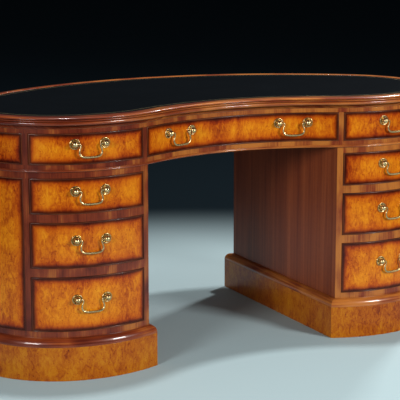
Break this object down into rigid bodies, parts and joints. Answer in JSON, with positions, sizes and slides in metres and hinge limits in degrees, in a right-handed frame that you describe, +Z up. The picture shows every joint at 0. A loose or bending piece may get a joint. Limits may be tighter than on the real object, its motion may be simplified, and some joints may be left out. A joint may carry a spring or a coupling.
{
  "type": "kidney desk",
  "caption": "Kidney-shaped pedestal desk with an inset leather top, a drawer frieze, bow-fronted pedestal drawers, an open kneehole and brass swan-neck handles.",
  "frame": {"origin": "on the floor, under the middle of the desk's bounding box", "axes": "+X to the right of the user who sits at the hollow side, +Y from the user towards the desk's back, +Z up"},
  "size_m": [1.6294, 0.8116, 0.775],
  "materials": {
    "burr_walnut": "glossy burr veneer, amber in the middle of each face and dark at its edges",
    "carcass_walnut": "glossy crossbanded rails and burr panels",
    "mahogany": "polished red-brown mouldings",
    "drawer_oak": "plain waxed lining",
    "black_leather": "smooth near-black writing leather",
    "polished_brass": "polished"
  },
  "bodies": {
    "root": {"top_board": "mahogany", "top_edge_moulding": "mahogany", "writing_leather": "black_leather", "frieze_carcass": "carcass_walnut", "frieze_bead": "mahogany", "left_pedestal": "carcass_walnut", "left_plinth": "burr_walnut", "left_plinth_moulding": "mahogany", "right_pedestal": "carcass_walnut", "right_plinth": "burr_walnut", "right_plinth_moulding": "mahogany"},
    "frieze_centre_drawer": {"frieze_centre_front": "burr_walnut", "frieze_centre_box": "drawer_oak", "frieze_centre_left_post_left": "polished_brass", "frieze_centre_left_post_right": "polished_brass", "frieze_centre_right_post_left": "polished_brass", "frieze_centre_right_post_right": "polished_brass"},
    "frieze_left_drawer": {"frieze_left_front": "burr_walnut", "frieze_left_box": "drawer_oak", "frieze_left_post_left": "polished_brass", "frieze_left_post_right": "polished_brass"},
    "left_lower_drawer": {"left_lower_front": "burr_walnut", "left_lower_box": "drawer_oak", "left_lower_post_left": "polished_brass", "left_lower_post_right": "polished_brass"},
    "left_middle_drawer": {"left_middle_front": "burr_walnut", "left_middle_box": "drawer_oak", "left_middle_post_left": "polished_brass", "left_middle_post_right": "polished_brass"},
    "left_upper_drawer": {"left_upper_front": "burr_walnut", "left_upper_box": "drawer_oak", "left_upper_post_left": "polished_brass", "left_upper_post_right": "polished_brass"},
    "frieze_right_drawer": {"frieze_right_front": "burr_walnut", "frieze_right_box": "drawer_oak", "frieze_right_post_left": "polished_brass", "frieze_right_post_right": "polished_brass"},
    "right_lower_drawer": {"right_lower_front": "burr_walnut", "right_lower_box": "drawer_oak", "right_lower_post_left": "polished_brass", "right_lower_post_right": "polished_brass"},
    "right_middle_drawer": {"right_middle_front": "burr_walnut", "right_middle_box": "drawer_oak", "right_middle_post_left": "polished_brass", "right_middle_post_right": "polished_brass"},
    "right_upper_drawer": {"right_upper_front": "burr_walnut", "right_upper_box": "drawer_oak", "right_upper_post_left": "polished_brass", "right_upper_post_right": "polished_brass"},
    "frieze_centre_left_bail": {"frieze_centre_left_bail": "polished_brass"},
    "frieze_centre_right_bail": {"frieze_centre_right_bail": "polished_brass"},
    "frieze_left_bail": {"frieze_left_bail": "polished_brass"},
    "left_lower_bail": {"left_lower_bail": "polished_brass"},
    "left_middle_bail": {"left_middle_bail": "polished_brass"},
    "left_upper_bail": {"left_upper_bail": "polished_brass"},
    "frieze_right_bail": {"frieze_right_bail": "polished_brass"},
    "right_lower_bail": {"right_lower_bail": "polished_brass"},
    "right_middle_bail": {"right_middle_bail": "polished_brass"},
    "right_upper_bail": {"right_upper_bail": "polished_brass"}
  },
  "joints": [
    {"name": "frieze_centre_slide", "type": "slide", "parent": "root", "child": "frieze_centre_drawer", "axis": [0, -1, 0], "range_m": [0, 0.35]},
    {"name": "frieze_left_slide", "type": "slide", "parent": "root", "child": "frieze_left_drawer", "axis": [0, -1, 0], "range_m": [0, 0.3]},
    {"name": "left_lower_slide", "type": "slide", "parent": "root", "child": "left_lower_drawer", "axis": [0, -1, 0], "range_m": [0, 0.3]},
    {"name": "left_middle_slide", "type": "slide", "parent": "root", "child": "left_middle_drawer", "axis": [0, -1, 0], "range_m": [0, 0.3]},
    {"name": "left_upper_slide", "type": "slide", "parent": "root", "child": "left_upper_drawer", "axis": [0, -1, 0], "range_m": [0, 0.3]},
    {"name": "frieze_right_slide", "type": "slide", "parent": "root", "child": "frieze_right_drawer", "axis": [0, -1, 0], "range_m": [0, 0.3]},
    {"name": "right_lower_slide", "type": "slide", "parent": "root", "child": "right_lower_drawer", "axis": [0, -1, 0], "range_m": [0, 0.3]},
    {"name": "right_middle_slide", "type": "slide", "parent": "root", "child": "right_middle_drawer", "axis": [0, -1, 0], "range_m": [0, 0.3]},
    {"name": "right_upper_slide", "type": "slide", "parent": "root", "child": "right_upper_drawer", "axis": [0, -1, 0], "range_m": [0, 0.3]},
    {"name": "frieze_centre_left_swing", "type": "hinge", "parent": "frieze_centre_drawer", "child": "frieze_centre_left_bail", "pos_m": [-0.19356, -0.31004, 0.6959], "axis": [-0.9558, -0.294, 0], "range_deg": [-6, 150]},
    {"name": "frieze_centre_right_swing", "type": "hinge", "parent": "frieze_centre_drawer", "child": "frieze_centre_right_bail", "pos_m": [0.19356, -0.31004, 0.6959], "axis": [-0.9558, 0.294, 0], "range_deg": [-6, 150]},
    {"name": "frieze_left_swing", "type": "hinge", "parent": "frieze_left_drawer", "child": "frieze_left_bail", "pos_m": [-0.5234, -0.38974, 0.6959], "axis": [-0.9942, 0.1074, 0], "range_deg": [-6, 150]},
    {"name": "left_lower_swing", "type": "hinge", "parent": "left_lower_drawer", "child": "left_lower_bail", "pos_m": [-0.5234, -0.38974, 0.23965], "axis": [-0.9942, 0.1074, 0], "range_deg": [-6, 150]},
    {"name": "left_middle_swing", "type": "hinge", "parent": "left_middle_drawer", "child": "left_middle_bail", "pos_m": [-0.5234, -0.38974, 0.4148], "axis": [-0.9942, 0.1074, 0], "range_deg": [-6, 150]},
    {"name": "left_upper_swing", "type": "hinge", "parent": "left_upper_drawer", "child": "left_upper_bail", "pos_m": [-0.5234, -0.38974, 0.5595], "axis": [-0.9942, 0.1074, 0], "range_deg": [-6, 150]},
    {"name": "frieze_right_swing", "type": "hinge", "parent": "frieze_right_drawer", "child": "frieze_right_bail", "pos_m": [0.5234, -0.38974, 0.6959], "axis": [-0.9942, -0.1074, 0], "range_deg": [-6, 150]},
    {"name": "right_lower_swing", "type": "hinge", "parent": "right_lower_drawer", "child": "right_lower_bail", "pos_m": [0.5234, -0.38974, 0.23965], "axis": [-0.9942, -0.1074, 0], "range_deg": [-6, 150]},
    {"name": "right_middle_swing", "type": "hinge", "parent": "right_middle_drawer", "child": "right_middle_bail", "pos_m": [0.5234, -0.38974, 0.4148], "axis": [-0.9942, -0.1074, 0], "range_deg": [-6, 150]},
    {"name": "right_upper_swing", "type": "hinge", "parent": "right_upper_drawer", "child": "right_upper_bail", "pos_m": [0.5234, -0.38974, 0.5595], "axis": [-0.9942, -0.1074, 0], "range_deg": [-6, 150]}
  ]
}
